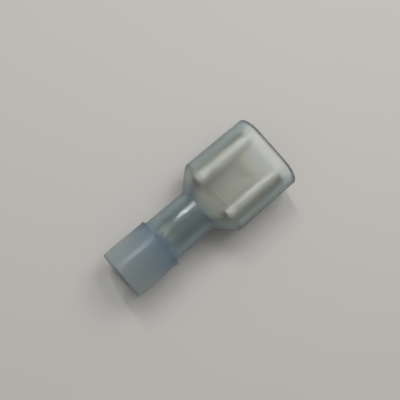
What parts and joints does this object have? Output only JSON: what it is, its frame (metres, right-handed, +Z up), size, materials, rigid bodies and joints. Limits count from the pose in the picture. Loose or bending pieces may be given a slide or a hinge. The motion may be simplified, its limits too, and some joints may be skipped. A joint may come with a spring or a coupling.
{
  "type": "female spade terminal",
  "caption": "Translucent blue nylon sleeve, flat-oval at the tab mouth and round at the wire end, round a tin-plated brass receptacle with rolled edges and a crimp barrel.",
  "frame": {"origin": "on the surface that the part lies on, under the middle of its box", "axes": "+X along the wire's axis from the wire end to the tab mouth, +Y across, +Z up, towards the rolls of the receptacle"},
  "size_m": [0.021, 0.0092, 0.0059],
  "materials": {
    "blue_nylon": "moulded, translucent, satin",
    "tin_plate": "tin-plated, satin"
  },
  "bodies": {
    "root": {"nylon_housing": "blue_nylon", "brass_terminal": "tin_plate"}
  },
  "joints": []
}
